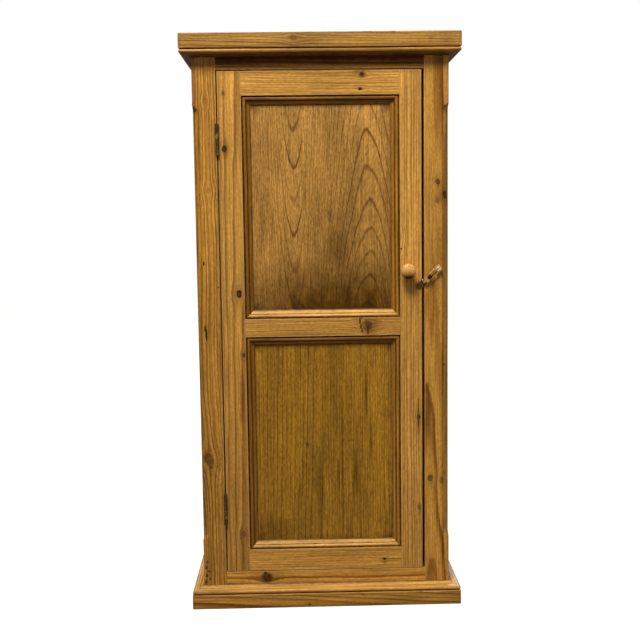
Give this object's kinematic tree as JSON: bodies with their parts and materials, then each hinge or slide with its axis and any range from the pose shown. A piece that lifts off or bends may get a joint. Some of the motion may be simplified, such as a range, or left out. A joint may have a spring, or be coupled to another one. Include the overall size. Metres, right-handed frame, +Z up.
{
  "type": "hanging wall cabinet",
  "caption": "Tall shallow pine wall cabinet with a framed two-panel door on butt hinges, a turned knob, a slotted hasp, shelves, cornice and plinth mouldings.",
  "frame": {"origin": "centre of the whole object's box at the foot of the plinth, in metres", "axes": "+Z up, -Y out of the door, +X to the right when facing the door"},
  "size_m": [0.454, 0.209, 0.95],
  "materials": {
    "waxed_pine": "old wax, satin",
    "panel_pine": "old wax, satin",
    "inside_pine": "bare, dry",
    "knob_pine": "waxed, turned",
    "hasp_brass": "worn bright",
    "dull_brass": "dull, tarnished",
    "dull_steel": "dull, oxidised"
  },
  "bodies": {
    "carcass": {"side_left": "waxed_pine", "side_right": "waxed_pine", "top_board": "waxed_pine", "top_nails": "dull_steel", "bottom_board": "inside_pine", "shelf_lower": "inside_pine", "shelf_upper": "inside_pine", "shelf_battens": "inside_pine", "back_board_1": "inside_pine", "back_board_2": "inside_pine", "back_board_3": "inside_pine", "back_board_4": "inside_pine", "back_nails": "dull_steel", "hanging_rail": "inside_pine", "face_stile_left": "waxed_pine", "face_stile_right": "waxed_pine", "face_rail_top": "waxed_pine", "face_rail_bottom": "waxed_pine", "cornice_front": "waxed_pine", "cornice_left": "waxed_pine", "cornice_right": "waxed_pine", "plinth_front": "waxed_pine", "plinth_left": "waxed_pine", "plinth_right": "waxed_pine", "plinth_mould_front": "waxed_pine", "plinth_mould_left": "waxed_pine", "plinth_mould_right": "waxed_pine", "glue_blocks": "inside_pine", "door_stop_top": "inside_pine", "door_stop_bottom": "inside_pine", "hinge_frame_leaf_upper": "dull_brass", "hinge_frame_leaf_lower": "dull_brass", "hinge_pins": "dull_steel", "hinge_screws_frame": "dull_brass", "hasp_staple": "dull_brass"},
    "door": {"door_stile_left": "waxed_pine", "door_stile_right": "waxed_pine", "door_rail_top": "waxed_pine", "door_rail_mid": "waxed_pine", "door_rail_bottom": "waxed_pine", "door_panel_upper": "panel_pine", "door_panel_lower": "panel_pine", "upper_bead_top": "waxed_pine", "upper_bead_bottom": "waxed_pine", "upper_bead_left": "waxed_pine", "upper_bead_right": "waxed_pine", "lower_bead_top": "waxed_pine", "lower_bead_bottom": "waxed_pine", "lower_bead_left": "waxed_pine", "lower_bead_right": "waxed_pine", "hinge_door_leaf_upper": "dull_brass", "hinge_door_leaf_lower": "dull_brass", "hinge_screws_door": "dull_brass", "knob": "knob_pine", "knob_screw": "dull_steel", "hasp_leaf": "hasp_brass", "hasp_screw": "hasp_brass", "hasp_pin": "hasp_brass"},
    "strap": {"hasp_strap": "hasp_brass"}
  },
  "joints": [
    {"name": "door_hinge", "type": "hinge", "parent": "carcass", "child": "door", "pos_m": [-0.169, -0.0837, 0.4749], "axis": [0, 0, -1], "range_deg": [0, 170]},
    {"name": "hasp_hinge", "type": "hinge", "parent": "door", "child": "strap", "pos_m": [0.1672, -0.0834, 0.547], "axis": [0.6691, 0, -0.7431], "range_deg": [0, 150]}
  ]
}
